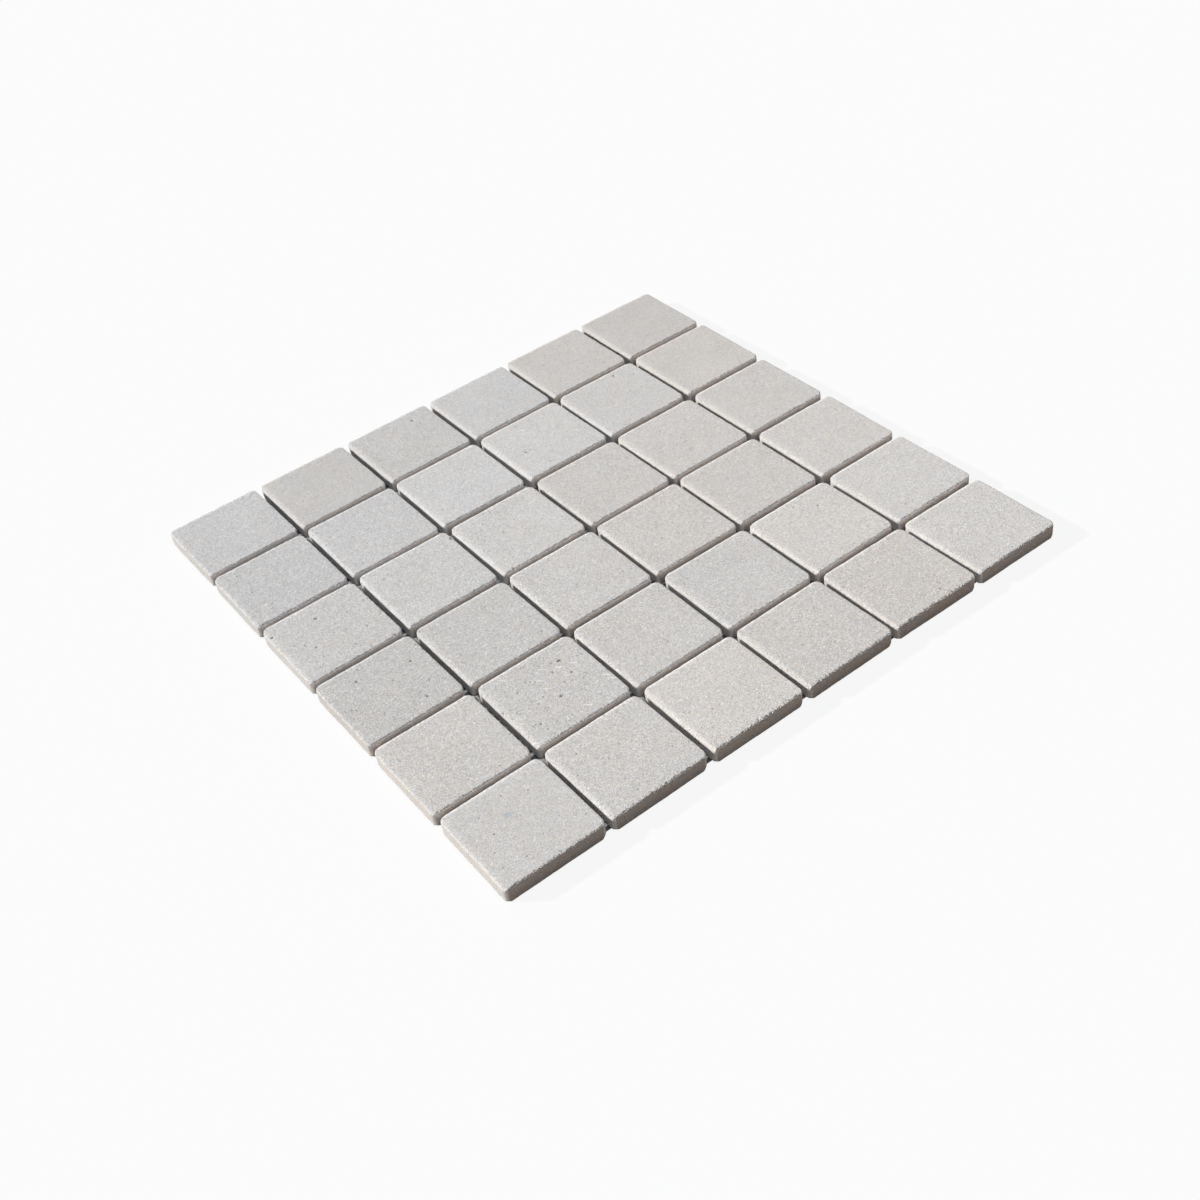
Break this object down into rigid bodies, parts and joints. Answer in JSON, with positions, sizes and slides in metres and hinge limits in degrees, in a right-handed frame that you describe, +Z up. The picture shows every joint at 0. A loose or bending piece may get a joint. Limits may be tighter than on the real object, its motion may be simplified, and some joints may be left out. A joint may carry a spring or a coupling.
{
  "type": "mosaic tile sheet",
  "caption": "Square sheet of small tumbled natural-stone tiles with even open joints, laid face up and held together by a thin glass-fibre net glued to their backs.",
  "frame": {"origin": "centre of the net's underside, which the sheet lies on", "axes": "+Z up, out of the tiles' faces; +X along a row of tiles; +Y from one row to the next"},
  "size_m": [0.3026, 0.3026, 0.008],
  "materials": {
    "stone": "matt, tumbled",
    "net": "glass-fibre scrim, matt"
  },
  "bodies": {
    "root": {"tile_row1_column1": "stone", "tile_row1_column2": "stone", "tile_row1_column3": "stone", "tile_row1_column4": "stone", "tile_row1_column5": "stone", "tile_row1_column6": "stone", "tile_row2_column1": "stone", "tile_row2_column2": "stone", "tile_row2_column3": "stone", "tile_row2_column4": "stone", "tile_row2_column5": "stone", "tile_row2_column6": "stone", "tile_row3_column1": "stone", "tile_row3_column2": "stone", "tile_row3_column3": "stone", "tile_row3_column4": "stone", "tile_row3_column5": "stone", "tile_row3_column6": "stone", "tile_row4_column1": "stone", "tile_row4_column2": "stone", "tile_row4_column3": "stone", "tile_row4_column4": "stone", "tile_row4_column5": "stone", "tile_row4_column6": "stone", "tile_row5_column1": "stone", "tile_row5_column2": "stone", "tile_row5_column3": "stone", "tile_row5_column4": "stone", "tile_row5_column5": "stone", "tile_row5_column6": "stone", "tile_row6_column1": "stone", "tile_row6_column2": "stone", "tile_row6_column3": "stone", "tile_row6_column4": "stone", "tile_row6_column5": "stone", "tile_row6_column6": "stone", "net_lengthwise_threads": "net", "net_crosswise_threads": "net"}
  },
  "joints": []
}
